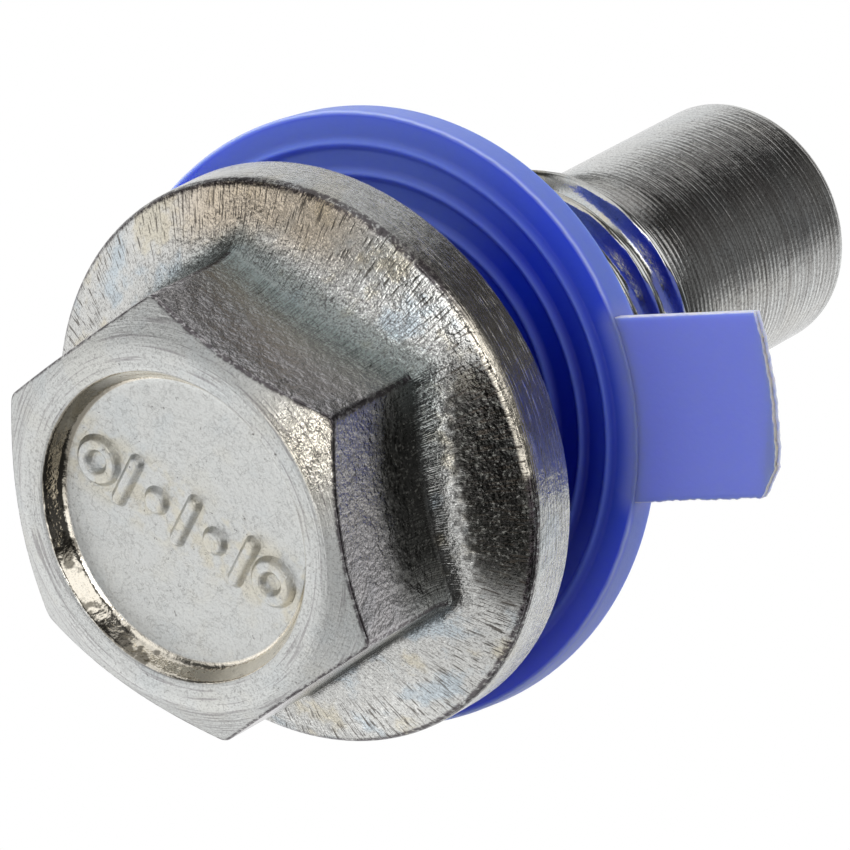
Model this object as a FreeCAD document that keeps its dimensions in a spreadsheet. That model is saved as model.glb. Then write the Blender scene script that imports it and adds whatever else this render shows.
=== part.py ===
"""Oil drain plug, M12 x 1.5: a forged hexagon head with a coned flange, a threaded shank that ends in
a long plain pilot, and a loose moulded sealing washer with a tab, which hangs askew on the shank.

Millimetres. The origin is the centre of the flange's bearing face. +Z runs along the shank to the
pilot's tip, so the plug stands on its head. A corner of the hexagon points along +X.
"""
import FreeCAD, Part
import os

import Sketcher

doc = FreeCAD.newDocument("OilDrainPlug")

# Driving dimensions
# Millimetres and degrees. Heights along the shank are counted from the flange's bearing face.
SIZES = [
    ("across_flats", 15.0, "hexagon, flat to flat"),
    ("head_height", 9.55, "bearing face to the head's outer face"),
    ("face_ring_diameter", 13.9, "flat ring on the head's face, where the corner chamfer starts"),
    ("corner_chamfer_angle", 30.0, "chamfer across the hexagon's corners"),
    ("recess_diameter", 12.0, "dished recess in the head's face, at its mouth"),
    ("recess_floor_diameter", 11.1, "the same recess at its floor"),
    ("recess_depth", 0.85, "mouth to floor"),
    ("flange_diameter", 22.0, "flange forged in one with the head"),
    ("rim_height", 2.2, "straight rim of the flange"),
    ("cone_angle", 26.0, "slope of the flange's upper side"),
    ("neck_diameter", 10.1, "relief between the flange and the thread"),
    ("neck_length", 1.5, "one pitch"),
    ("thread_diameter", 12.0, "major diameter of the thread"),
    ("thread_end", 15.3, "end of the full thread"),
    ("pilot_diameter", 9.85, "plain pilot, under the thread's root"),
    ("runout_angle", 60.0, "last flank of the thread, down to the pilot"),
    ("shank_length", 27.5, "bearing face to the pilot's tip"),
    ("tip_chamfer", 0.5, "chamfer round the pilot's tip"),
    ("rim_rounding", 0.15, "rounding of the rim's edge at the bearing face"),
    ("corner_rounding", 0.3, "rounding of the hexagon's upright edges"),
    ("recess_rounding", 0.2, "rounding at the recess's mouth and floor"),
    ("washer_diameter", 23.25, "moulded ring, outside"),
    ("washer_thickness", 1.4, "moulded ring between its ridges"),
    ("ridge_height", 0.3, "sealing ridge above the ring's face"),
    ("outer_ridge_share", 0.22, "rim to the outer ridge's crest, of the face's width"),
    ("ridge_spacing_share", 0.227, "one ridge to the next, of the face's width"),
    ("ridge_foot_share", 0.7, "width of a ridge at its foot, of the spacing"),
    ("ridge_crest_share", 0.14, "width of a ridge at its crest, of the spacing"),
    ("bore_clearance", 0.15, "between the askew washer's bore and the thread"),
    ("seat_gap", 0.02, "between the washer's lowest ridge and the flange"),
    ("lean_angle", 11.8, "tilt of the washer on the shank"),
    ("lean_direction", 97.4, "side where the washer touches the flange, from +X"),
    ("shift_along_x", -0.18, "washer's centre off the plug's axis"),
    ("shift_along_y", 0.11, "washer's centre off the plug's axis"),
    ("tab_direction", -33.4, "tab's place round the washer, from its own +X"),
    ("tab_width", 6.9, "across the tab"),
    ("tab_length", 5.655, "ring's rim to the tab's rounded end"),
    ("tab_thickness", 0.5, "tab, flush with the washer's flange side"),
    ("tab_root", 0.9, "overlap of the tab with the ring"),
    ("tab_chamfer", 1.1, "cut corner of the tab"),
]
RIDGE_COUNT = 3

sheet = doc.addObject("Spreadsheet::Sheet", "Sizes")
for row, (alias, value, meaning) in enumerate(SIZES, start=1):
    sheet.set(f"A{row}", meaning)
    sheet.set(f"B{row}", str(value))
    sheet.setAlias(f"B{row}", alias)
doc.recompute()


def size(alias):
    """The number that the sheet holds under this alias."""
    return float(sheet.get(alias))


def new_body(label):
    """An empty body with this label."""
    body = doc.addObject("PartDesign::Body", label)
    body.Label = label
    return body


def sketch_on(body, role, name):
    """An empty sketch on one of the body's own origin planes."""
    plane = next(item for item in body.Origin.OriginFeatures if item.Role == role)
    sketch = body.newObject("Sketcher::SketchObject", name)
    sketch.AttachmentSupport = [(plane, "")]
    sketch.MapMode = "FlatFace"
    return sketch


def bind(sketch, kind, references, name, value, expression):
    """A named dimension whose value follows the sheet."""
    index = sketch.addConstraint(Sketcher.Constraint(kind, *references, value))
    sketch.renameConstraint(index, name)
    sketch.setExpression(f"Constraints.{name}", expression)


def polygon(sketch, corners):
    """A closed outline whose corners are pairs of expressions, across and up from the origin."""
    count = len(corners)
    # The outline starts as a rough polygon of the same count of corners, and the bound dimensions then
    # pull each corner to its place.
    turn = FreeCAD.Rotation(FreeCAD.Vector(0, 0, 1), 360.0 / count)
    point = FreeCAD.Vector(10, 0, 0)
    centre = FreeCAD.Vector(20, 0, 0)
    rough = []
    for _ in corners:
        rough.append(centre + point)
        point = turn.multVec(point)
    for index in range(count):
        sketch.addGeometry(Part.LineSegment(rough[index], rough[(index + 1) % count]), False)
    for index in range(count):
        sketch.addConstraint(Sketcher.Constraint("Coincident", index, 2, (index + 1) % count, 1))
    for index, (across, up) in enumerate(corners):
        if across == "0":
            sketch.addConstraint(Sketcher.Constraint("PointOnObject", index, 1, -2))
        else:
            bind(sketch, "DistanceX", (-1, 1, index, 1), f"across{index}", rough[index].x, across)
        if up == "0":
            sketch.addConstraint(Sketcher.Constraint("PointOnObject", index, 1, -1))
        else:
            bind(sketch, "DistanceY", (-1, 1, index, 1), f"up{index}", rough[index].y, up)


def turned(body, name, kind, corners):
    """A revolved boss (Revolution) or cut (Groove) about the body's Z axis, from its half section."""
    sketch = sketch_on(body, "XZ_Plane", name + "_section")
    polygon(sketch, corners)
    feature = body.newObject("PartDesign::" + kind, name)
    feature.Profile = sketch
    feature.ReferenceAxis = (sketch, ["V_Axis"])
    feature.Angle = 360.0
    sketch.Visibility = False
    doc.recompute()
    return feature


def rounded(body, name, radius_alias, chosen):
    """Rounds the edges of the body's tip that the test picks."""
    base = body.Tip
    names = [f"Edge{n}" for n, edge in enumerate(base.Shape.Edges, start=1) if chosen(edge)]
    feature = body.newObject("PartDesign::Fillet", name)
    feature.Base = (base, names)
    feature.setExpression("Radius", f"Sizes.{radius_alias}")
    doc.recompute()
    return feature


def is_circle(edge, radius, height):
    """True for a full circle of this radius at this height about the Z axis."""
    curve = edge.Curve
    if not isinstance(curve, Part.Circle):
        return False
    same_place = abs(curve.Center.z - height) < 1e-4 and abs(curve.Radius - radius) < 1e-4
    return same_place and curve.Center.x ** 2 + curve.Center.y ** 2 < 1e-8


# Drain plug
# One steel forging: hexagon, flange and shank in one, the shank turned to its pilot.
plug = new_body("drain_plug")

hexagon_sketch = sketch_on(plug, "XY_Plane", "hexagon_outline")
polygon(hexagon_sketch, [
    ("Sizes.across_flats / sqrt(3)", "0"),
    ("Sizes.across_flats / sqrt(3) / 2", "Sizes.across_flats / 2"),
    ("-Sizes.across_flats / sqrt(3) / 2", "Sizes.across_flats / 2"),
    ("-Sizes.across_flats / sqrt(3)", "0"),
    ("-Sizes.across_flats / sqrt(3) / 2", "-Sizes.across_flats / 2"),
    ("Sizes.across_flats / sqrt(3) / 2", "-Sizes.across_flats / 2"),
])
hexagon = plug.newObject("PartDesign::Pad", "hexagon")
hexagon.Profile = hexagon_sketch
hexagon.Reversed = True
hexagon.setExpression("Length", "Sizes.head_height")
hexagon_sketch.Visibility = False
doc.recompute()

corner_radius = size("across_flats") / 3 ** 0.5
rounded(plug, "hexagon_corners", "corner_rounding", lambda edge: (
    edge.BoundBox.ZLength > 1 and edge.BoundBox.XLength < 1e-6 and edge.BoundBox.YLength < 1e-6
    and abs((edge.CenterOfMass.x ** 2 + edge.CenterOfMass.y ** 2) ** 0.5 - corner_radius) < 1e-4
))

turned(plug, "corner_chamfer", "Groove", [
    ("Sizes.face_ring_diameter / 2", "-Sizes.head_height"),
    ("Sizes.across_flats", "-Sizes.head_height"),
    ("Sizes.across_flats",
     "-Sizes.head_height"
     " + (Sizes.across_flats - Sizes.face_ring_diameter / 2) * tan(Sizes.corner_chamfer_angle)"),
])

turned(plug, "face_recess", "Groove", [
    ("0", "-Sizes.head_height"),
    ("Sizes.recess_diameter / 2", "-Sizes.head_height"),
    ("Sizes.recess_floor_diameter / 2", "Sizes.recess_depth - Sizes.head_height"),
    ("0", "Sizes.recess_depth - Sizes.head_height"),
])

# The cone runs on inside the hexagon, so that the two join all the way round.
CONE_TOP_RADIUS = "Sizes.across_flats * 0.43"
CONE_TOP_HEIGHT = (
    "-Sizes.rim_height"
    " - (Sizes.flange_diameter / 2 - Sizes.across_flats * 0.43) * tan(Sizes.cone_angle)"
)
turned(plug, "flange_and_shank", "Revolution", [
    ("0", CONE_TOP_HEIGHT),
    (CONE_TOP_RADIUS, CONE_TOP_HEIGHT),
    ("Sizes.flange_diameter / 2", "-Sizes.rim_height"),
    ("Sizes.flange_diameter / 2", "0"),
    ("Sizes.neck_diameter / 2", "0"),
    ("Sizes.neck_diameter / 2", "Sizes.neck_length"),
    ("Sizes.thread_diameter / 2",
     "Sizes.neck_length + (Sizes.thread_diameter - Sizes.neck_diameter) / 2"),
    ("Sizes.thread_diameter / 2", "Sizes.thread_end"),
    ("Sizes.pilot_diameter / 2",
     "Sizes.thread_end"
     " + (Sizes.thread_diameter - Sizes.pilot_diameter) / 2 / tan(Sizes.runout_angle)"),
    ("Sizes.pilot_diameter / 2", "Sizes.shank_length - Sizes.tip_chamfer"),
    ("Sizes.pilot_diameter / 2 - Sizes.tip_chamfer", "Sizes.shank_length"),
    ("0", "Sizes.shank_length"),
])

face_height = -size("head_height")
floor_height = face_height + size("recess_depth")
rounded(plug, "recess_edges", "recess_rounding", lambda edge: (
    is_circle(edge, size("recess_diameter") / 2, face_height)
    or is_circle(edge, size("recess_floor_diameter") / 2, floor_height)
))
rounded(plug, "rim_edge", "rim_rounding", lambda edge: (
    is_circle(edge, size("flange_diameter") / 2, 0)
))

# Sealing washer
# One moulded plastic ring with concentric ridges on both faces and a flat tab. Its own origin is the
# middle of the ring. Its bore clears the thread while the ring leans on the flange.
washer = new_body("sealing_washer")

BORE = (
    "(Sizes.thread_diameter / 2 + Sizes.bore_clearance"
    " + sqrt(Sizes.shift_along_x ^ 2 + Sizes.shift_along_y ^ 2)"
    " + Sizes.washer_thickness / 2 * sin(Sizes.lean_angle)) / cos(Sizes.lean_angle)"
)
FACE_WIDTH = f"(Sizes.washer_diameter / 2 - {BORE})"
OUTER_RIDGE = f"(Sizes.washer_diameter / 2 - Sizes.outer_ridge_share * {FACE_WIDTH})"
SPACING = f"Sizes.ridge_spacing_share * {FACE_WIDTH}"


def ridged_side(sign):
    """Corners of one ridged face, from the bore outwards. sign is - for the flange side, + for the other."""
    flat = f"{sign}Sizes.washer_thickness / 2"
    crest = f"{sign}(Sizes.washer_thickness / 2 + Sizes.ridge_height)"
    corners = [(BORE, flat)]
    for inward in reversed(range(RIDGE_COUNT)):
        middle = f"{OUTER_RIDGE} - {inward} * {SPACING}"
        corners += [
            (f"{middle} - Sizes.ridge_foot_share / 2 * {SPACING}", flat),
            (f"{middle} - Sizes.ridge_crest_share / 2 * {SPACING}", crest),
            (f"{middle} + Sizes.ridge_crest_share / 2 * {SPACING}", crest),
            (f"{middle} + Sizes.ridge_foot_share / 2 * {SPACING}", flat),
        ]
    corners.append(("Sizes.washer_diameter / 2", flat))
    return corners


turned(washer, "ridged_ring", "Revolution", ridged_side("-") + ridged_side("")[::-1])

tab_sketch = sketch_on(washer, "XY_Plane", "tab_outline")
tab_sketch.setExpression("AttachmentOffset.Base.z", "-Sizes.washer_thickness / 2")
tab_sketch.setExpression("AttachmentOffset.Rotation.Angle", "Sizes.tab_direction")
half, cut = size("tab_width") / 2, size("tab_chamfer")
reach = size("washer_diameter") / 2 + size("tab_length")
inner = size("washer_diameter") / 2 - size("tab_root")
near_end = FreeCAD.Vector((reach ** 2 - half ** 2) ** 0.5, -half, 0)
far_end = FreeCAD.Vector((reach ** 2 - (half - cut) ** 2) ** 0.5, half - cut, 0)
cut_end = FreeCAD.Vector(far_end.x - cut, half, 0)
inner_far, inner_near = FreeCAD.Vector(inner, half, 0), FreeCAD.Vector(inner, -half, 0)
tab_end = Part.Arc(near_end, FreeCAD.Vector(reach, 0, 0), far_end)
outline = [Part.LineSegment(inner_near, near_end), tab_end, Part.LineSegment(far_end, cut_end),
           Part.LineSegment(cut_end, inner_far), Part.LineSegment(inner_far, inner_near)]
for line in outline:
    tab_sketch.addGeometry(line, False)
for index in range(len(outline)):
    tab_sketch.addConstraint(Sketcher.Constraint("Coincident", index, 2, (index + 1) % len(outline), 1))
tab_sketch.addConstraint(Sketcher.Constraint("Coincident", 1, 3, -1, 1))
bind(tab_sketch, "Radius", (1,), "reach", reach, "Sizes.washer_diameter / 2 + Sizes.tab_length")
bind(tab_sketch, "DistanceY", (-1, 1, 0, 1), "near_root", -half, "-Sizes.tab_width / 2")
bind(tab_sketch, "DistanceY", (-1, 1, 1, 1), "near_side", -half, "-Sizes.tab_width / 2")
bind(tab_sketch, "DistanceY", (-1, 1, 2, 1), "cut_start", half - cut,
     "Sizes.tab_width / 2 - Sizes.tab_chamfer")
bind(tab_sketch, "DistanceX", (3, 1, 2, 1), "cut_length", cut, "Sizes.tab_chamfer")
bind(tab_sketch, "DistanceY", (-1, 1, 3, 1), "far_side", half, "Sizes.tab_width / 2")
bind(tab_sketch, "DistanceY", (-1, 1, 4, 1), "far_root", half, "Sizes.tab_width / 2")
for index, name in ((0, "root_near"), (4, "root_far")):
    bind(tab_sketch, "DistanceX", (-1, 1, index, 1), name, inner,
         "Sizes.washer_diameter / 2 - Sizes.tab_root")
tab = washer.newObject("PartDesign::Pad", "tab")
tab.Profile = tab_sketch
tab.setExpression("Length", "Sizes.tab_thickness")
tab_sketch.Visibility = False
doc.recompute()

# The ring leans until its outer ridge, or its edge where that reaches lower, stands on the flange.
LOWEST = (
    f"max(({OUTER_RIDGE} + Sizes.ridge_crest_share / 2 * {SPACING}) * sin(Sizes.lean_angle)"
    " + (Sizes.washer_thickness / 2 + Sizes.ridge_height) * cos(Sizes.lean_angle);"
    " Sizes.washer_diameter / 2 * sin(Sizes.lean_angle)"
    " + Sizes.washer_thickness / 2 * cos(Sizes.lean_angle))"
)
washer.setExpression("Placement.Base.x", "Sizes.shift_along_x")
washer.setExpression("Placement.Base.y", "Sizes.shift_along_y")
washer.setExpression("Placement.Base.z", f"Sizes.seat_gap + {LOWEST}")
washer.setExpression("Placement.Rotation.Axis.x", "-sin(Sizes.lean_direction)")
washer.setExpression("Placement.Rotation.Axis.y", "cos(Sizes.lean_direction)")
washer.setExpression("Placement.Rotation.Axis.z", "0")
washer.setExpression("Placement.Rotation.Angle", "Sizes.lean_angle")
doc.recompute()

for item in doc.Objects:
    if {"Invalid", "Error"} & set(item.State):
        raise RuntimeError(f"{item.Label} did not build: {item.State}")

os.makedirs("parts", exist_ok=True)
for body in (plug, washer):
    shape = body.Shape
    if shape.isNull() or not shape.isValid() or len(shape.Solids) != 1:
        raise RuntimeError(f"{body.Label} is not one sound solid")
    shape.exportStep(f"parts/{body.Label}.step")
    box = shape.BoundBox
    print(f"{body.Label}: {shape.Volume:.2f} mm3, x {box.XMin:.3f} {box.XMax:.3f}, "
          f"y {box.YMin:.3f} {box.YMax:.3f}, z {box.ZMin:.3f} {box.ZMax:.3f}")
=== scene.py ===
"""The look of an oil drain plug: a zinc-plated forging that stands on its head, and the loose blue sealing
washer that hangs askew on its shank. Metres, in the part's own frame: the flange's bearing face is at
z 0, the shank runs up +Z, and the head's outer face is on the floor. Profiles are given in millimetres.
"""
import bpy
import numpy as np
from mathutils import Matrix


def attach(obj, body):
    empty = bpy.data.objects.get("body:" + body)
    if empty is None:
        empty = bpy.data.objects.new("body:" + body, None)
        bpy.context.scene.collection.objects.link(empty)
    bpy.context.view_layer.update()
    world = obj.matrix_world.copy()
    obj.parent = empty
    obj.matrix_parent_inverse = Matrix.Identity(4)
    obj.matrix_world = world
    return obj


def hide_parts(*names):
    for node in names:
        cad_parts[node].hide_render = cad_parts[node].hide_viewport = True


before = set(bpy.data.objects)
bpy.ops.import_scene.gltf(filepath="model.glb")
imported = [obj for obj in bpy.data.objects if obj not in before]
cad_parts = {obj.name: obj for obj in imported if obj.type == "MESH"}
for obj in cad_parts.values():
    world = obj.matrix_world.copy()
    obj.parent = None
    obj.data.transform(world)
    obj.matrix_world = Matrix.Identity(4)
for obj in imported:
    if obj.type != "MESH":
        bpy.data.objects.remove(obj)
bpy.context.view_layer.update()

# Drain plug
# One steel forging, its thread rolled and its pilot turned, all zinc plated. One skin runs from the
# middle of the head's recess over hexagon and flange, up the shank and to the middle of the tip.
HEAD_FACE, RECESS_FLOOR, RIM_TOP = -9.55, -8.70, -2.2
MIDDLE, FLOOR_EDGE, RECESS, FACE_RING, FLANGE, NECK = 0.01, 5.55, 6.0, 6.95, 11.0, 5.05
CHAMFER_SLOPE, CONE_SLOPE = np.tan(np.radians((30, 26)))
PITCH, CREST, CREST_HALF, THREAD_DEPTH, ROWS_PER_TURN = 1.5, 6.0, 0.07, 0.86, 17
NECK_LENGTH, THREAD_END, RUNOUT_SLOPE, GROOVE_DEPTH = 1.5, 15.3, 1.9, 0.62
PILOT, PILOT_START, TIP, TIP_CHAMFER = 4.925, 16.28, 27.5, 0.5
# The flats run out into the cone in a soft hollow, which is fullest round this direction in degrees.
FOOT_SOFT, FOOT_SOFTER, FOOT_AT = 0.55, 0.95, 290


def round_the_plug():
    """Angles round the axis, 50 to each corner of the hexagon: 30 degrees times the 1.6th power of the
    distance from the corner, so that they crowd where the corner is rounded."""
    share = np.linspace(-1, 1, 51)[:-1]
    near = np.radians(30) * np.sign(share) * np.abs(share) ** 1.6
    return (np.radians(60) * np.arange(6)[:, None] + near[None, :]).ravel()


def from_nearest_corner(angle):
    """Angle round the axis from the hexagon's nearest corner. There is one at every 60 degrees."""
    return (angle + np.radians(30)) % np.radians(60) - np.radians(30)


def hexagon_radius(angle, apothem=7.5, rounding=0.45):
    """Distance from the axis to the hexagon: apothem / cos(angle from the flat's middle), and near a
    corner the far side of a circle of the rounding's radius that touches both flats."""
    from_corner = from_nearest_corner(angle)
    flat = apothem / np.cos(np.radians(30) - np.abs(from_corner))
    centre = (apothem - rounding) / np.cos(np.radians(30))
    reach = rounding ** 2 - (centre * np.sin(from_corner)) ** 2
    corner = centre * np.cos(from_corner) + np.sqrt(np.maximum(reach, 0))
    touch = np.arctan2(rounding / 2, centre + rounding * np.cos(np.radians(30)))
    return np.where(np.abs(from_corner) < touch, corner, flat)


def softened(corners, straight, turn=7):
    """Rows of a profile through corners (radius, height, softness): straight lines between them, and
    at each corner b the parabola (1-t)^2 a + 2t(1-t) b + t^2 c between the points a and c that lie the
    softness away from it. Returns radii, heights and the number of the last corner passed."""
    points = np.array([
        [np.broadcast_to(value, ANGLES.shape) for value in corner[:2]] for corner in corners
    ])
    rows, passed = [points[0]], [0]
    leave = points[0]
    for index in range(1, len(corners)):
        here = points[index]
        back = points[index - 1] - here
        back = back / np.hypot(*back)
        soft = corners[index][2]
        arrive = here + soft * back
        for share in np.linspace(0, 1, straight + 2)[1:]:
            rows.append(leave + share * (arrive - leave))
            passed.append(index - 1)
        if np.any(soft):
            ahead = points[index + 1] - here
            leave = here + soft * ahead / np.hypot(*ahead)
            for t in np.linspace(0, 1, turn)[1:]:
                rows.append((1 - t) ** 2 * arrive + 2 * t * (1 - t) * here + t ** 2 * leave)
                passed.append(index - 1 if t < 0.5 else index)
        else:
            leave = here
    rows = np.array(rows)
    return rows[:, 0], rows[:, 1], np.array(passed)


def thread_radius(angle, height, crest_at=(300, 15.01)):
    """Right-hand thread. u is the distance along the axis to the nearest crest, on the helix height =
    pitch * turns, and the radius falls from the crest as a quarter sine to a rounded root."""
    helix = height - crest_at[1] - PITCH * (angle - np.radians(crest_at[0])) / (2 * np.pi)
    u = np.abs((helix + PITCH / 2) % PITCH - PITCH / 2)
    fall = np.sin(np.pi / 2 * np.clip((u - CREST_HALF) / (PITCH / 2 - CREST_HALF), 0, 1))
    return CREST - THREAD_DEPTH * fall


def skin(name, points, loop=False):
    """A closed mesh over a grid of points in millimetres, rows by columns. The last column joins the
    first. The last row joins the first too if loop is set, and else each end closes on its middle."""
    rows, columns = points.shape[:2]
    number = np.arange(rows * columns).reshape(rows, columns)
    lower = number if loop else number[:-1]
    upper = np.roll(number, -1, axis=0) if loop else number[1:]
    quads = np.stack([lower, np.roll(lower, -1, axis=1), np.roll(upper, -1, axis=1), upper], axis=-1)
    faces = quads.reshape(-1, 4).tolist()
    vertices = points.reshape(-1, 3)
    if not loop:
        first, last = rows * columns, rows * columns + 1
        vertices = np.vstack([vertices, points[0].mean(axis=0), points[-1].mean(axis=0)])
        start, end = number[0], number[-1]
        faces += np.stack([np.roll(start, -1), start, np.full(columns, first)], axis=-1).tolist()
        faces += np.stack([end, np.roll(end, -1), np.full(columns, last)], axis=-1).tolist()
    mesh = bpy.data.meshes.new(name)
    mesh.from_pydata((vertices * 0.001).tolist(), [], faces)
    mesh.shade_smooth()
    mesh.update()
    piece = bpy.data.objects.new(name, mesh)
    bpy.context.scene.collection.objects.link(piece)
    return piece


def mark(piece, grid, **masks):
    """Named values over a skin's grid of rows and columns, or one for each row, which its material
    reads as attributes. A skin with closed ends has two more points, with its first and last value."""
    for name, values in masks.items():
        values = np.asarray(values, dtype=np.float32)
        values = values[:, None] if values.ndim == 1 else values
        each = np.broadcast_to(values, grid).ravel()
        spare = len(piece.data.vertices) - len(each)
        field = piece.data.attributes.new(name, "FLOAT", "POINT")
        field.data.foreach_set("value", np.concatenate([each, [each[0], each[-1]][:spare]]))


ANGLES = round_the_plug()
hexagon = hexagon_radius(ANGLES)
chamfer_end = HEAD_FACE + (hexagon - FACE_RING) * CHAMFER_SLOPE
foot_height = RIM_TOP - (FLANGE - hexagon) * CONE_SLOPE
foot_softness = FOOT_SOFT + FOOT_SOFTER * np.sqrt(np.clip(np.cos(ANGLES - np.radians(FOOT_AT)), 0, 1))
head_radius, head_height, passed = softened([
    (MIDDLE, RECESS_FLOOR, 0),
    (FLOOR_EDGE, RECESS_FLOOR, 0.3),
    (RECESS, HEAD_FACE, 0.16),
    (FACE_RING, HEAD_FACE, 0.3),
    (hexagon, chamfer_end, 0.13),
    (hexagon, foot_height, foot_softness),
    (FLANGE, RIM_TOP, 0.36),
    (FLANGE, 0, 0.18),
    (NECK, 0, 0.25),
    (NECK, NECK_LENGTH, 0),
], straight=6)
thread_height = np.arange(NECK_LENGTH + 0.05, THREAD_END + 0.25, PITCH / ROWS_PER_TURN)[:, None] + 0 * ANGLES
run_in = NECK + np.clip(thread_height - NECK_LENGTH, 0, 1)
run_out = CREST - RUNOUT_SLOPE * np.clip(thread_height - THREAD_END + 0.1, 0, 1)
thread = np.minimum(np.minimum(thread_radius(ANGLES, thread_height), run_in), run_out)
share = np.linspace(0, 1, 16)[1:, None] + 0 * ANGLES
groove_height = thread_height[-1] + share * (PILOT_START - thread_height[-1])
hollow = GROOVE_DEPTH * np.sin(np.pi * share) * (1 - 0.4 * share)
groove = thread[-1] + share * (PILOT - thread[-1]) - hollow
tip_radius, tip_height, tip_passed = softened([
    (PILOT, PILOT_START, 0),
    (PILOT, TIP - TIP_CHAMFER, 0.3),
    (PILOT - TIP_CHAMFER, TIP, 0.15),
    (MIDDLE, TIP, 0),
], straight=4)
radius = np.vstack([head_radius, thread, groove, tip_radius[1:]])
height = np.vstack([head_height, thread_height, groove_height, tip_height[1:]])
plug = skin("drain_plug_skin", np.stack([
    radius * np.cos(ANGLES), radius * np.sin(ANGLES), height,
], axis=-1))

# Where each kind of surface is, by the corner of the profile that a row has passed last, and how far
# the skin is from its edges, along which the material darkens it and paints highlights and shade.
FLOOR, WALL, RING, CHAMFER, FLAT, CONE, RIM, SEAT, SHANK = range(9)
FAR, CORNER_DISTANCE = 4.0, 8.3
BRUISE_AT, BRUISE_SPREAD, RIM_HIGHLIGHT_AT, RIM_HIGHLIGHT_REACH, RIM_HIGHLIGHT_FADE = 303, 15, 315, 28, 12
degrees = np.degrees(ANGLES)
below = np.zeros(len(radius) - len(passed))


def on_head(*stretches):
    """1 on the rows of these stretches of the head, 0 on its other rows and on the shank."""
    return np.concatenate([np.isin(passed, stretches), below])


def gap_to(corner_radius, corner_height):
    """Distance in millimetres from a corner of the profile, up to FAR, over the skin's whole grid."""
    return np.minimum(np.hypot(radius - corner_radius, height - corner_height), FAR)


turned, tip_face = np.zeros((2, len(radius)))
turned[-len(tip_radius):] = tip_passed < 2
tip_face[-len(tip_radius):] = tip_passed >= 2
rolled = np.concatenate([passed == SHANK, below + 1]) * (1 - turned - tip_face)
flats = on_head(FLAT)
bruised = np.exp(-((degrees - BRUISE_AT) / BRUISE_SPREAD) ** 2)
from_upright = np.where(flats[:, None] > 0, np.abs(from_nearest_corner(ANGLES)) * CORNER_DISTANCE, FAR)
mark(
    plug, radius.shape,
    faced=on_head(FLOOR, RING, CHAMFER) + tip_face, recess=on_head(FLOOR), wall=on_head(WALL),
    bruise=on_head(CHAMFER)[:, None] * bruised, flats=flats, cone=on_head(CONE),
    rim=on_head(RIM, SEAT), rolled=rolled, turned=turned,
    rubbed=np.clip((RIM_HIGHLIGHT_REACH - np.abs(degrees - RIM_HIGHLIGHT_AT)) / RIM_HIGHLIGHT_FADE, 0, 1)[None, :],
    edge_gap=np.minimum(gap_to(hexagon, chamfer_end), from_upright),
    rim_gap=gap_to(FLANGE, RIM_TOP), foot_gap=gap_to(hexagon, foot_height),
)


def add(kind, sockets=None, **settings):
    """One node in the tree that is being filled, which is always called tree. Each named or numbered
    socket takes a value, or the output linked to it."""
    made = tree.nodes.new(kind)
    for name, value in settings.items():
        setattr(made, name, value)
    for name, value in (sockets or {}).items():
        if isinstance(value, bpy.types.NodeSocket):
            tree.links.new(value, made.inputs[name])
        else:
            made.inputs[name].default_value = value
    return made


def maths(operation, *values):
    """The result of one Math node."""
    return add("ShaderNodeMath", dict(enumerate(values)), operation=operation).outputs[0]


def times(value, factor):
    """Two values, or a value and a number, multiplied."""
    return maths("MULTIPLY", value, factor)


def weighted(start, *shares):
    """A starting value with each mask times its amount added."""
    for mask, amount in shares:
        start = maths("ADD", start, times(mask, amount))
    return start


def noise(vector, scale, detail=4.0, roughness=0.55):
    """Values of a noise texture, about 0.5."""
    return add("ShaderNodeTexNoise", {
        "Vector": vector, "Scale": scale, "Detail": detail, "Roughness": roughness,
    }).outputs["Fac"]


def drawn_out(first, second, third, **settings):
    """A noise of three values as its coordinates, drawn out along the one that changes least."""
    vector = add("ShaderNodeCombineXYZ", {0: first, 1: second, 2: third}).outputs[0]
    return noise(vector, 1.0, **settings)


def ramp(value, low, high, to_low=0.0, to_high=1.0):
    """value taken smoothly from low..high to to_low..to_high, and held beyond them."""
    return add("ShaderNodeMapRange", {
        "Value": value, "From Min": low, "From Max": high, "To Min": to_low, "To Max": to_high,
    }, interpolation_type="SMOOTHSTEP").outputs[0]


def facing(direction):
    """Cosine of the angle round the axis between a place, given by its east and north, and a direction
    in degrees."""
    turn = np.radians(direction)
    return weighted(0.0, (east, np.cos(turn)), (north, np.sin(turn)))


def blend(share, first, second):
    """Mix of two colours."""
    mixed = add("ShaderNodeMix", {"Factor": share}, data_type="RGBA")
    for socket, value in ((6, first), (7, second)):
        if isinstance(value, bpy.types.NodeSocket):
            tree.links.new(value, mixed.inputs[socket])
        else:
            mixed.inputs[socket].default_value = (*value, 1)
    return mixed.outputs[2]


def layered(colour, *layers):
    """A colour with others laid over it in turn, each by its share."""
    for share, over in layers:
        colour = blend(share, colour, over)
    return colour


def attribute(name):
    """A value stored on the mesh."""
    return add("ShaderNodeAttribute", attribute_name=name).outputs["Fac"]


def empty_material(name):
    """A material with no nodes."""
    material = bpy.data.materials.new(name)
    material.use_nodes = True
    material.node_tree.nodes.clear()
    return material


def principled():
    """The Principled shader, joined to the material's output, and Object coordinates in millimetres."""
    shader = add("ShaderNodeBsdfPrincipled")
    add("ShaderNodeOutputMaterial", {"Surface": shader.outputs[0]})
    place = add("ShaderNodeTexCoord").outputs["Object"]
    place = add("ShaderNodeVectorMath", {0: place, 3: 1000.0}, operation="SCALE").outputs[0]
    return shader, place


def group(name, inputs, outputs):
    """An empty node group with sockets of these names and kinds."""
    made = bpy.data.node_groups.new(name, "ShaderNodeTree")
    for direction, sockets in (("INPUT", inputs), ("OUTPUT", outputs)):
        for label, kind in sockets.items():
            made.interface.new_socket(label, in_out=direction, socket_type=f"NodeSocket{kind}")
    return made, made.nodes.new("NodeGroupInput"), made.nodes.new("NodeGroupOutput")


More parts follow.
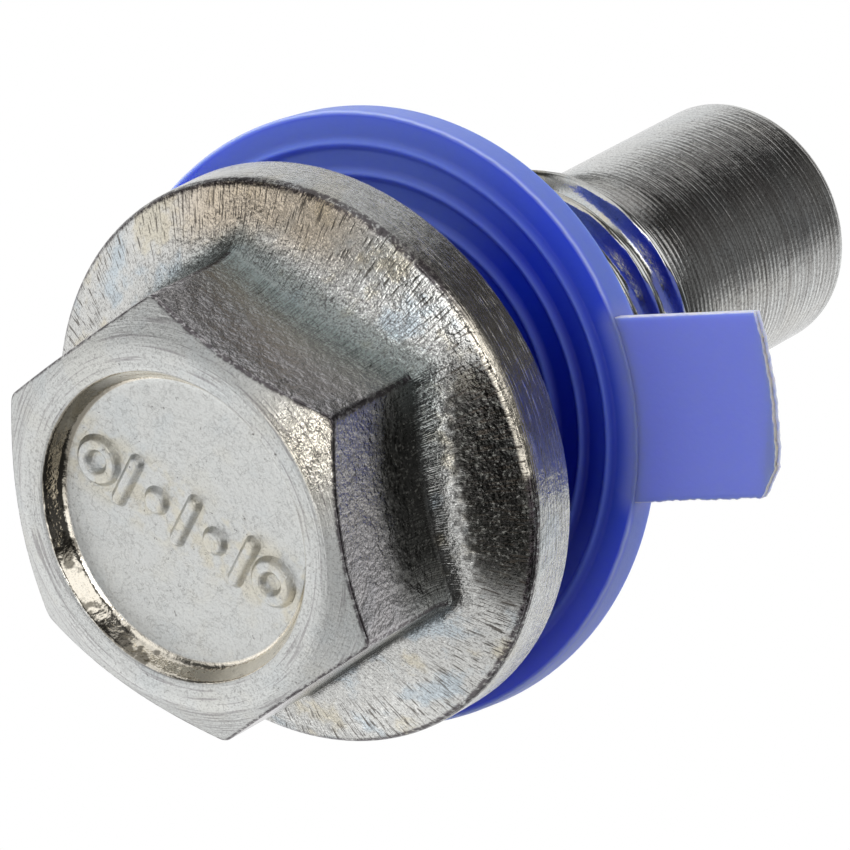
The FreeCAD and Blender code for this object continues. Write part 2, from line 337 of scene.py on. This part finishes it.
# Fine grain
# The finest unevenness of both pieces' surfaces, and small dark pits: a fine noise for the height, and
# a coarser, rougher one whose peaks are the pits.
grain_group, given, result = group(
    "fine_grain", {"Place": "Vector", "Scale": "Float", "Depth": "Float"},
    {"Height": "Float", "Pits": "Float"},
)
tree = grain_group
scaled = add("ShaderNodeVectorMath", {
    0: given.outputs["Place"], 3: given.outputs["Scale"],
}, operation="SCALE").outputs[0]
fine = noise(scaled, 1.0, detail=2.5, roughness=0.6)
coarse = noise(scaled, 0.5, detail=6.0, roughness=0.75)
tree.links.new(times(fine, given.outputs["Depth"]), result.inputs["Height"])
tree.links.new(ramp(coarse, 0.61, 0.70), result.inputs["Pits"])

# Steel finish
# Bright zinc over steel: forged and grainy on the cone and the flats, faced on the head's ring, rolled on
# the thread and turned on the pilot. Its film is faintly blue and straw-coloured, with dark pits and darker
# edges. Painted shade darkens one side of the flats, cone, rim and pilot, painted highlights brighten the
# rim's edge, the bruise and the recess's wall, and a painted dark reflection lies on that wall. Directions
# are in degrees round the axis from +X.
zinc = empty_material("zinc_plated_steel")
tree = zinc.node_tree
shader, place = principled()
x, y, z = add("ShaderNodeSeparateXYZ", {0: place}).outputs
from_axis = maths("SQRT", maths("ADD", times(x, x), times(y, y)))
safe = maths("MAXIMUM", from_axis, 0.05)
east, north = maths("DIVIDE", x, safe), maths("DIVIDE", y, safe)

# Masks, each from 0 to 1. The gaps are distances in millimetres from the edges.
faced, recess, wall, bruise, flats, cone, rim, rolled, turned, rubbed, edge_gap, rim_gap, foot_gap = map(
    attribute, ("faced", "recess", "wall", "bruise", "flats", "cone", "rim", "rolled", "turned", "rubbed",
                "edge_gap", "rim_gap", "foot_gap"),
)
# Painted highlight: on one side the rim's edge has finer grain, lacks the edge darkening and is painted pale
# gold.
highlit_rim_edge = times(ramp(rim_gap, 0.42, 0.18), rubbed)
rim_line = ramp(rim_gap, 0.32, 0.12)
edge = weighted(ramp(edge_gap, 0.19, 0.02), (rim_line, 0.9), (highlit_rim_edge, -0.9))
foot_side = ramp(facing(265), 0.35, 0.9)
# Painted shade: a dark blue-green band in the hollow at the foot of the flats, on the side facing 265
# degrees.
foot_shade = times(foot_side, weighted(0.0, (flats, ramp(foot_gap, 2.1, 0.5)), (cone, ramp(foot_gap, 1.3, 0.3))))
glinting = times(times(cone, foot_side), ramp(foot_gap, 2.6, 1.2))
wrinkled = times(ramp(foot_gap, 2.2, 1.0), maths("MAXIMUM", cone, flats))
outer_cone = times(cone, ramp(from_axis, 8.4, 9.8))
lined = times(turned, ramp(facing(320), 0.1, 0.8, 0.15, 1.0))

# Patterns: grain, dents, streaks outwards, rings of the facing tool, lines of the turning tool,
# scratches round the rim, fine cracks, and the waves that each turn of the tool leaves.
grain = add("ShaderNodeGroup", {"Place": place, "Scale": 7.0, "Depth": 1.0}, node_tree=grain_group)
dents = noise(place, 1.6, detail=3.0)
radial = drawn_out(times(east, 120), times(north, 120), times(from_axis, 1.4), detail=2.0)
rings = drawn_out(times(from_axis, 9), times(x, 0.35), times(y, 0.35), detail=4.0)
feed = drawn_out(times(z, 9.0), times(x, 0.16), times(y, 0.16), detail=2.0, roughness=0.7)
scratch = drawn_out(times(z, 14), times(x, 0.6), times(y, 0.6), detail=3.0)
crease = maths("SUBTRACT", noise(place, 1.1, detail=5.0, roughness=0.6), 0.5)
crease = ramp(maths("ABSOLUTE", crease), 0.012, 0.002)
wander = times(noise(place, 0.5, detail=2.0), 1.2)
turns = maths("SINE", maths("ADD", times(z, 24.0), wander))

# Relief in millimetres: each pattern's depth, and where it is.
relief = times(grain.outputs["Height"], weighted(
    0.010, (cone, 0.013), (flats, 0.014), (rim, 0.010), (bruise, 0.006), (rolled, -0.007),
    (faced, 0.012), (highlit_rim_edge, -0.012), (glinting, 0.014),
))
for pattern, amount in (
    (dents, weighted(0.0, (flats, 0.08), (cone, 0.06), (rim, 0.07), (bruise, 0.20), (turned, 0.03),
                     (wall, 0.035), (glinting, 0.08))),
    (radial, weighted(0.0, (outer_cone, 0.018), (wrinkled, 0.045))),
    (scratch, weighted(0.0, (rim, 0.04), (turned, 0.015))),
    (rings, weighted(0.0, (faced, 0.03), (recess, -0.02))),
    (feed, times(lined, 0.012)),
    (turns, times(lined, 0.006)),
    (crease, weighted(0.0, (bruise, -0.02), (recess, -0.004))),
):
    relief = maths("ADD", relief, times(pattern, amount))
bump = add("ShaderNodeBump", {"Strength": 1.0, "Distance": 0.001, "Height": relief})

# Colours of the plating: straw, plain and blue film, a warm brown on one side of the outer cone, painted
# shade on one side of the flats, cone, rim and pilot and in the hollow at the foot of the flats, painted
# highlights in pale gold, a painted dark reflection on the recess's wall, and then the dark lines, pits and
# edge darkening over them.
hue = noise(place, 0.4, detail=5.0, roughness=0.6)
film = blend(ramp(hue, 0.36, 0.47), (0.60, 0.56, 0.46), (0.60, 0.60, 0.58))
film = blend(ramp(hue, 0.53, 0.66), film, (0.50, 0.56, 0.60))
filmed = weighted(0.9, (faced, -0.75), (turned, -0.75), (rim, -0.5))
flat_colour = blend(ramp(foot_gap, 1.2, 3.9), (0.37, 0.38, 0.36), (0.57, 0.55, 0.56))
# A warm brown tint on one side of the outer cone.
warm_side = times(outer_cone, ramp(facing(245), 0.86, 0.985))
ragged = maths("SUBTRACT", noise(place, 3.0, detail=4.0), 0.5)
ragged_gap = maths("ADD", foot_gap, times(ragged, 1.5))
# Painted shade: the flats and the cone past their foot are painted near black on the side facing 329
# degrees, with lighter specks in it.
shaded_side = ramp(facing(329), 0.84, 0.97)
past_foot = times(cone, ramp(ragged_gap, 0.75, 1.45))
painted_shade = times(shaded_side, maths("ADD", times(flats, ramp(ragged_gap, 3.4, 1.9)), past_foot))
specks_in_shade = times(painted_shade, ramp(noise(place, 6.5, detail=5.0), 0.53, 0.74))
# Painted shade: the rim and the pilot are painted darker on one side.
rim_shaded_side = times(rim, ramp(facing(302), 0.84, 0.98))
pilot_shaded_side = times(turned, ramp(facing(285), 0.86, 0.99))
beside_marks = ramp(maths("ABSOLUTE", y), 1.9, 0.9)
stain = times(times(recess, beside_marks), ramp(noise(place, 1.3, detail=3.0), 0.4, 0.6))
# Painted dark reflection: the recess's wall is painted dark on one side and in blotches on another.
shade_blotch = times(ramp(noise(place, 0.9, detail=4.0), 0.52, 0.58), ramp(facing(140), 0.2, 0.6))
wall_painted_dark = times(wall, maths("MAXIMUM", ramp(facing(190), 0.72, 0.95), shade_blotch))
speckle = times(ramp(noise(place, 12.0, detail=2.0, roughness=0.7), 0.48, 0.66), weighted(
    0.16, (cone, 0.28), (flats, 0.25), (turned, 0.42), (rim, 0.12), (faced, 0.2), (recess, -0.16),
    (glinting, 0.25),
))
hairlines = times(ramp(radial, 0.45, 0.36), times(outer_cone, 0.85))
scores = times(ramp(rings, 0.55, 0.64), weighted(0.0, (faced, 0.5), (recess, -0.5)))
lines = times(maths("MAXIMUM", ramp(feed, 0.50, 0.60), times(turns, 0.9)), times(lined, 0.45))
# Darker along the edges, in patches.
edge_darkening = times(ramp(noise(place, 4.5, detail=5.0, roughness=0.7), 0.36, 0.58), times(edge, 1.4))
colour = layered(
    blend(filmed, (0.57, 0.58, 0.57), film),
    (times(warm_side, 0.6), (0.64, 0.50, 0.33)),
    (times(flats, 0.85), flat_colour),
    # Painted shade in the hollow at the foot of the flats.
    (times(foot_shade, 0.58), (0.22, 0.29, 0.29)),
    # Painted shade on that side, and the lighter specks that break it.
    (times(painted_shade, 0.92), (0.045, 0.045, 0.040)),
    (times(times(shaded_side, past_foot), 0.75), (0.012, 0.012, 0.010)),
    (specks_in_shade, (0.36, 0.36, 0.33)),
    # Painted shade on one side of the rim and the pilot.
    (weighted(0.0, (rim_shaded_side, 0.68), (pilot_shaded_side, 0.35)), (0.17, 0.14, 0.12)),
    # Painted highlights: light streaks along the scratches on the rim's shaded side.
    (times(rim_shaded_side, ramp(scratch, 0.585, 0.62)), (0.84, 0.82, 0.78)),
    (times(stain, 0.5), (0.60, 0.55, 0.42)),
    # Pale gold painted highlights: over the recess's wall, the rim's edge on one side and the real bruise on
    # the chamfer.
    (weighted(0.0, (wall, 0.85), (bruise, 0.9), (highlit_rim_edge, 0.9)), (0.93, 0.86, 0.73)),
    # Painted dark reflection on the recess's wall.
    (times(wall_painted_dark, 0.80), (0.09, 0.08, 0.06)),
    (speckle, (0.12, 0.11, 0.11)),
    (hairlines, (0.07, 0.06, 0.05)),
    (scores, (0.22, 0.20, 0.21)),
    (lines, (0.12, 0.10, 0.09)),
    (times(grain.outputs["Pits"], 0.8), (0.06, 0.05, 0.045)),
    (maths("MINIMUM", edge_darkening, 0.85), (0.075, 0.062, 0.07)),
    (times(crease, weighted(0.0, (bruise, 0.8), (recess, 0.13))), (0.06, 0.05, 0.045)),
)
roughness = weighted(
    0.12, (faced, 0.30), (flats, 0.10), (cone, 0.03), (rim, 0.06), (turned, 0.03), (bruise, -0.30),
    (wall, -0.04), (rolled, -0.02), (maths("SUBTRACT", dents, 0.5), 0.12), (specks_in_shade, 0.35),
)
tree.links.new(colour, shader.inputs["Base Color"])
tree.links.new(roughness, shader.inputs["Roughness"])
tree.links.new(bump.outputs[0], shader.inputs["Normal"])
shader.inputs["Metallic"].default_value = 1.0

plug.data.materials.append(zinc)
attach(plug, "root")
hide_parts("drain_plug")

# Marks on the head
# A row of plain raised shapes, struck up from the recess's floor with the forging. The skin lies just
# under the floor between them.
MARK_HEIGHT, MARK_HALF, MARK_TOP = 0.28, 0.42, 0.12
MARK_RING, MARK_PIP, MARK_SLANT, MARK_REACH = 0.66, 0.22, 0.12, 0.88
MARKS = {-4.2: "ring", -2.8: "bar", -1.4: "pip", 0.0: "bar", 1.4: "pip", 2.8: "bar", 4.2: "ring"}
ACROSS, UP = 230, 60


def from_segment(across, up, start, end):
    """Distance of points from the straight stroke between two points."""
    run = np.subtract(end, start)
    share = ((across - start[0]) * run[0] + (up - start[1]) * run[1]) / (run @ run)
    share = np.clip(share, 0, 1)
    return np.hypot(across - start[0] - share * run[0], up - start[1] - share * run[1])


def from_marks(across, up):
    """Distance of points from the middle of the nearest mark's stroke."""
    nearest = np.full(across.shape, 9.0)
    for middle, kind in MARKS.items():
        away = across - middle
        if kind == "ring":
            from_mark = np.abs(np.hypot(away, up) - MARK_RING)
        elif kind == "pip":
            from_mark = np.maximum(np.hypot(away, up) - MARK_PIP, 0)
        else:
            from_mark = from_segment(away, up, (MARK_SLANT, -MARK_REACH), (-MARK_SLANT, MARK_REACH))
        nearest = np.minimum(nearest, from_mark)
    return nearest


across, up = np.meshgrid(np.linspace(-5.2, 5.2, ACROSS), np.linspace(-1.3, 1.3, UP), indexing="ij")
rise = np.clip((from_marks(across, up) - MARK_TOP) / (MARK_HALF - MARK_TOP), 0, 1)
bulge = MARK_HEIGHT * 0.5 * (1 + np.cos(np.pi * rise))
front = np.stack([across, up, RECESS_FLOOR + 0.03 - bulge], axis=-1)
back = front[:, [-1, 0]] * (1, 1, 0) + (0, 0, RECESS_FLOOR + 0.2)
marks = skin("head_marks", np.concatenate([front, back], axis=1))
whole, far = np.ones(ACROSS), np.full(ACROSS, FAR)
mark(marks, (ACROSS, UP + 2), faced=whole, recess=whole, edge_gap=far, rim_gap=far, foot_gap=far)
marks.data.materials.append(zinc)
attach(marks, "root")

# Sealing washer
# One moulded ring of blue plastic with three sealing ridges on each face, loose on the shank. It leans
# with its low side on the flange. Its rim has a thin, slightly wavy line of flash at the flange side,
# which fades at the tab, where the ring is painted paler towards it as light through the thin plastic.
LEAN, LEAN_DIRECTION = np.radians(11.8), np.radians(97.4)
LEAN_AXIS = (-np.sin(LEAN_DIRECTION), np.cos(LEAN_DIRECTION), 0)
WASHER_TURN = np.array(Matrix.Rotation(LEAN, 3, LEAN_AXIS))
WASHER_MIDDLE = np.array([-0.18, 0.11, 3.167])
RING_BORE, RING_RIM, RING_HALF, RING_EDGE = 6.645, 11.625, 0.7, 0.08
RIDGES, RIDGE_HEIGHT, RIDGE_HALF = (8.15, 9.28, 10.41), 0.22, 0.28
FACE_ROWS, BEND_ROWS, WALL_ROWS = 76, 3, 10
TAB_DIRECTION = np.radians(-33.4)


def on_the_shank(points):
    """Points of the washer's own frame, turned and moved to where it hangs."""
    return points @ WASHER_TURN.T + WASHER_MIDDLE


def ridged(radius):
    """Height of the ridges above the ring's face: a raised cosine of each one's half width."""
    away = np.min(np.abs(radius[:, None] - np.array(RIDGES)), axis=1)
    return RIDGE_HEIGHT * 0.5 * (1 + np.cos(np.pi * np.clip(away / RIDGE_HALF, 0, 1)))


around = np.linspace(0, 2 * np.pi, 480, endpoint=False)
face = np.linspace(RING_BORE + RING_EDGE, RING_RIM - RING_EDGE, FACE_ROWS)
ridge = ridged(face)
quarter = np.linspace(0, np.pi / 2, BEND_ROWS + 2)[1:-1]
bend, drop = RING_EDGE * np.sin(quarter), RING_EDGE * (1 - np.cos(quarter))
outer, inner = RING_RIM - RING_EDGE + bend, RING_BORE + RING_EDGE - bend
wall = np.linspace(-RING_HALF + RING_EDGE, RING_HALF - RING_EDGE, WALL_ROWS)
ring_radius = np.concatenate([
    face, outer, np.full(WALL_ROWS, RING_RIM), outer[::-1],
    face[::-1], inner, np.full(WALL_ROWS, RING_BORE), inner[::-1],
])
ring_height = np.concatenate([
    -RING_HALF - ridge, -RING_HALF + drop, wall, (RING_HALF - drop)[::-1],
    (RING_HALF + ridge)[::-1], RING_HALF - drop, wall[::-1], (-RING_HALF + drop)[::-1],
])
wavy = sum(np.sin(waves * around + waves) for waves in (5, 13, 29, 61, 97)) / 5
flash, wall_rows, ridge_rows = np.zeros((3, len(ring_radius)))
flash[FACE_ROWS - 2:FACE_ROWS + BEND_ROWS + 1] = (0.4, 0.8, 1.0, 1.0, 0.8, 0.4)
wall_rows[FACE_ROWS + BEND_ROWS + 1:FACE_ROWS + BEND_ROWS + WALL_ROWS] = 1
ridge_rows[:FACE_ROWS] = ridge / RIDGE_HEIGHT
ring_radius = ring_radius[:, None] - flash[:, None] * (0.02 + 0.02 * wavy)
ring_height = ring_height[:, None] - flash[:, None] * (0.05 + 0.035 * wavy)
ring = skin("washer_ring", on_the_shank(np.stack([
    ring_radius * np.cos(around), ring_radius * np.sin(around), ring_height,
], axis=-1)), loop=True)
# Painted light: near the tab the ring is painted paler towards its rim, as light through the thin plastic.
at_tab = np.clip((np.cos(around - TAB_DIRECTION) - 0.93) / 0.03, 0, 1)
paler = np.clip((ring_radius - 10.6) / 1.0, 0, 1) * at_tab
mark(
    ring, ring_radius.shape, wall=wall_rows, flash=flash[:, None] * (1 - at_tab),
    thin=paler ** 2 * (3 - 2 * paler), ridge=ridge_rows,
)
round_ring = ring.data.attributes.new("round_ring", "FLOAT_VECTOR", "POINT")
round_ring.data.foreach_set("vector", np.stack([
    np.cos(around) + 0 * ring_radius, np.sin(around) + 0 * ring_radius, ring_radius,
], axis=-1).astype(np.float32).ravel())

# The plastic is deep blue. Painted shade darkens one side, and painted light makes it paler towards the
# rim, on two sides and on the walls, with painted highlights along the ridge crests and the flash, and
# painted light through the thin tab and the ring beside it.
plastic = empty_material("blue_plastic")
tree = plastic.node_tree
shader, place = principled()
ring_place = add("ShaderNodeAttribute", attribute_name="round_ring").outputs["Vector"]
east, north, ring_out = add("ShaderNodeSeparateXYZ", {0: ring_place}).outputs
crest = attribute("ridge")
frayed = ramp(noise(place, 3.0, detail=4.0), 0.3, 0.6, 0.55, 1.0)
colour = layered(
    blend(noise(place, 0.8, detail=3.0), (0.004, 0.024, 0.50), (0.007, 0.034, 0.60)),
    # Painted shade: darkest on the side facing 350 degrees, where the flange shades it.
    (ramp(facing(350), 0.45, 1.0, 0.0, 0.80), (0.001, 0.006, 0.30)),
    # Painted light: paler towards the rim.
    (ramp(ring_out, 9.2, 11.7, 0.0, 0.85), (0.050, 0.105, 0.72)),
    # Painted light: paler on the sides facing 236 and 50 degrees.
    (ramp(facing(236), 0.55, 1.0, 0.0, 0.75), (0.125, 0.190, 0.56)),
    (ramp(facing(50), 0.35, 0.95, 0.0, 0.85), (0.130, 0.180, 0.85)),
    # Painted highlights along the ridge crests.
    (times(times(crest, crest), 0.70), (0.150, 0.220, 0.80)),
    # Painted light on the ring's walls.
    (times(attribute("wall"), 0.85), (0.17, 0.25, 0.68)),
    # Painted light through the thin tab and the ring beside it.
    (times(attribute("thin"), 0.95), (0.22, 0.27, 0.68)),
    # Painted highlight along the real flash line, fading at the tab.
    (times(attribute("flash"), 0.85), (0.42, 0.48, 0.95)),
    (times(attribute("torn"), frayed), (0.66, 0.65, 0.80)),
)
stretched = add("ShaderNodeVectorMath", {0: ring_place, 1: (38.0, 38.0, 0.5)}, operation="MULTIPLY")
fibres = noise(stretched.outputs[0], 1.0, detail=2.0)
grain = add("ShaderNodeGroup", {"Place": place, "Scale": 4.0, "Depth": 0.010}, node_tree=grain_group)
relief = maths("ADD", grain.outputs["Height"], times(fibres, 0.010))
bump = add("ShaderNodeBump", {"Strength": 1.0, "Distance": 0.001, "Height": relief})
tree.links.new(colour, shader.inputs["Base Color"])
tree.links.new(bump.outputs[0], shader.inputs["Normal"])
shader.inputs["Roughness"].default_value = 0.42
shader.inputs["Specular IOR Level"].default_value = 0.25
shader.inputs["Subsurface Weight"].default_value = 0.75
shader.inputs["Subsurface Radius"].default_value = (0.3, 0.4, 1.0)
shader.inputs["Subsurface Scale"].default_value = 0.0016
ring.data.materials.append(plastic)
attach(ring, "root")
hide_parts("sealing_washer")

# Washer tab
# The flat tab of the same moulding, flush with the ring's flange side, by which the washer is pulled off.
# Its end and one long edge are left ragged by the mould.
TAB_HALF, TAB_REACH, TAB_EDGE, TAB_CORNER = 3.45, 17.28, 0.06, 1.1
TAB_LOW, TAB_HIGH = -RING_HALF, -RING_HALF + 0.5
TAB_MIDDLE = (TAB_LOW + TAB_HIGH) / 2
TAB_COLUMNS, TAB_EDGE_COLUMNS, TAB_ROWS = 47, 5, 60


def tab_section():
    """The tab's section as pairs across and up: along the flange side, up the one edge, back and down."""
    flat = np.linspace(-1, 1, TAB_COLUMNS) * (TAB_HALF - TAB_EDGE)
    edge = np.linspace(0.06, 0.94, TAB_EDGE_COLUMNS) * (TAB_HIGH - TAB_LOW)
    side, low, high = np.full_like(edge, TAB_HALF), np.full_like(flat, TAB_LOW), np.full_like(flat, TAB_HIGH)
    across = np.concatenate([flat, side, flat[::-1], -side])
    up = np.concatenate([low, TAB_LOW + edge, high, TAB_HIGH - edge])
    return across, up


def tab_points():
    """The section carried from the ring to the tab's end. A point's place along is root + share * (end -
    root): the root is an arc inside the ring, the end an arc about the washer's centre with one corner
    cut. The edge and the end are ragged by a sum of sines."""
    across, up = tab_section()
    share = np.concatenate([np.linspace(0, 1, TAB_ROWS) ** 0.9 * 0.99, [1.0, 1.0, 1.0]])[:, None]
    thick = np.ones((len(share), 1))
    thick[-2:, 0] = (0.8, 0.0)
    root = np.sqrt((RING_RIM - 0.9) ** 2 - across ** 2)
    end = np.sqrt(TAB_REACH ** 2 - across ** 2) - TAB_EDGE
    end = np.minimum(end, end - 0.5 * np.clip((across - TAB_HALF + TAB_CORNER) / TAB_CORNER, 0, 1))
    ragged_end = sum(np.sin(waves * across + waves) for waves in (3.1, 7.7, 15.3)) / 3
    along = root + share * (end + 0.04 * ragged_end - root)
    ragged_side = sum(np.sin(waves * along + waves) for waves in (2.3, 6.1, 13.7, 21.0)) / 4
    lower_side = np.clip((across - TAB_HALF + 0.5) / 0.5, 0, 1)
    out = np.clip((along - RING_RIM) / 0.5, 0, 1)
    sideways = across - lower_side * (0.04 + 0.05 * ragged_side) * out
    sunk = 0.03 * (1 - np.clip((along - RING_RIM + 0.9) / 0.7, 0, 1))
    return np.stack([along, sideways, TAB_MIDDLE + (up - TAB_MIDDLE) * thick + sunk], axis=-1)


points = tab_points()
tab_turn = np.array(Matrix.Rotation(TAB_DIRECTION, 3, "Z"))
tab = skin("washer_tab", on_the_shank(points @ tab_turn.T))
# Painted light: the tab is painted paler away from the ring, as light through its thin plastic.
from_ring = np.clip((np.hypot(points[..., 0], points[..., 1]) - RING_RIM + 0.9) / 1.0, 0, 1)
on_edge = np.abs(tab_section()[0]) > TAB_HALF - TAB_EDGE / 2
torn = on_edge * (from_ring > 0.3)
torn[-2:] = 1
mark(tab, from_ring.shape, thin=from_ring ** 2 * (3 - 2 * from_ring), torn=torn)
tab.data.materials.append(plastic)
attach(tab, "root")

# Floor, light and camera
# A pale floor that is seen only from above, because the photograph looks up at the head from below it,
# a white studio that is dark to the right and in front, and the camera at the photograph's place.
CAMERA_RIGHT = np.array([0.763444, -0.269385, 0.587013])
CAMERA_DOWN = np.array([0.524175, 0.789427, -0.319445])
CAMERA_AHEAD = np.array([-0.377350, 0.551576, 0.743888])
CAMERA_PLACE = np.array([132.479, -191.712, -254.193])
FOCAL_PIXELS, PICTURE_PIXELS, SENSOR_WIDTH = 9313.1, 850, 36.0
FLOOR_HALF, FLOOR_HEIGHT = 0.6, -0.00956

floor = bpy.data.objects.new("floor", bpy.data.meshes.new("floor"))
corners = ((-1, -1), (1, -1), (1, 1), (-1, 1))
floor.data.from_pydata([
    (FLOOR_HALF * right, FLOOR_HALF * ahead, FLOOR_HEIGHT) for right, ahead in corners
], [], [(0, 1, 2, 3)])
bpy.context.scene.collection.objects.link(floor)
pale = empty_material("pale_floor")
tree = pale.node_tree
seen = add("ShaderNodeBsdfDiffuse", {"Color": (0.86, 0.86, 0.86, 1)})
gone = add("ShaderNodeBsdfTransparent")
behind = add("ShaderNodeNewGeometry").outputs["Backfacing"]
either = add("ShaderNodeMixShader", {0: behind, 1: seen.outputs[0], 2: gone.outputs[0]})
add("ShaderNodeOutputMaterial", {"Surface": either.outputs[0]})
floor.data.materials.append(pale)
floor.visible_diffuse = floor.visible_glossy = floor.visible_transmission = floor.visible_shadow = False

world = bpy.data.worlds.new("studio")
bpy.context.scene.world = world
world.use_nodes = True
tree = world.node_tree
tree.nodes.clear()
ray_direction = add("ShaderNodeTexCoord").outputs["Generated"]


def studio_card(right, up, near, start, end, strength):
    """Light from one side: strength times a smooth step of the cosine between the ray and the card's
    direction, which is given as the camera sees it."""
    toward = right * CAMERA_RIGHT - up * CAMERA_DOWN - near * CAMERA_AHEAD
    toward = toward / np.linalg.norm(toward)
    cosine = add("ShaderNodeVectorMath", {0: ray_direction, 1: tuple(toward)}, operation="DOT_PRODUCT")
    return ramp(cosine.outputs["Value"], start, end, 0.0, strength)


def lit(light, *cards):
    """An even light with the light of each card added."""
    for card in cards:
        light = maths("ADD", light, studio_card(*card))
    return light


# The cards are what polished steel mirrors. Matt surfaces are lit by two broad ones instead, and the
# camera itself sees plain white.
mirrored = lit(
    0.05,
    (-0.93, -0.20, -0.10, 0.62, 0.93, 1.15),
    (-0.30, -0.95, 0.00, 0.79, 0.90, 0.85),
    (0.00, 0.10, -1.00, 0.60, 0.82, 0.95),
    (-0.50, -0.65, -0.55, 0.80, 0.95, 0.45),
    (-0.10, 1.00, 0.10, 0.77, 0.95, 0.75),
    (0.80, -0.45, -0.55, 0.82, 0.97, 0.75),
    (1.00, 0.10, -0.20, 0.60, 1.00, 0.15),
    (-0.55, 0.25, 0.80, 0.86, 0.97, 0.26),
    (-0.30, -0.07, 0.95, 0.950, 0.985, 2.6),
    (0.42, 0.34, 0.84, 0.90, 0.96, 1.1),
    (0.02, -0.55, 0.83, 0.935, 0.98, 1.15),
    (-0.50, 0.52, 0.69, 0.90, 0.97, 0.7),
)
even = lit(0.12, (-0.75, 0.55, 0.35, -0.2, 1.0, 1.4), (0.70, 0.10, -0.70, -0.2, 1.0, 0.9))
ray = add("ShaderNodeLightPath").outputs
brightness = add("ShaderNodeMix", {
    "Factor": ray["Is Diffuse Ray"], 2: mirrored, 3: even,
}, data_type="FLOAT").outputs[0]
brightness = add("ShaderNodeMix", {
    "Factor": ray["Is Camera Ray"], 2: brightness, 3: 1.0,
}, data_type="FLOAT").outputs[0]
backdrop = add("ShaderNodeBackground", {"Color": (1, 1, 1, 1), "Strength": brightness})
add("ShaderNodeOutputWorld", {"Surface": backdrop.outputs[0]})
world.cycles.sampling_method = "NONE"

camera = bpy.data.objects.new("camera", bpy.data.cameras.new("camera"))
bpy.context.scene.collection.objects.link(camera)
camera_turn = np.column_stack([CAMERA_RIGHT, -CAMERA_DOWN, -CAMERA_AHEAD])
camera.matrix_world = Matrix.Translation(CAMERA_PLACE * 0.001) @ Matrix(camera_turn.tolist()).to_4x4()
camera.data.sensor_width = SENSOR_WIDTH
camera.data.lens = FOCAL_PIXELS / PICTURE_PIXELS * SENSOR_WIDTH
camera.data.clip_start, camera.data.clip_end = 0.01, 5.0
bpy.context.scene.camera = camera
bpy.context.scene.view_settings.view_transform = "Standard"
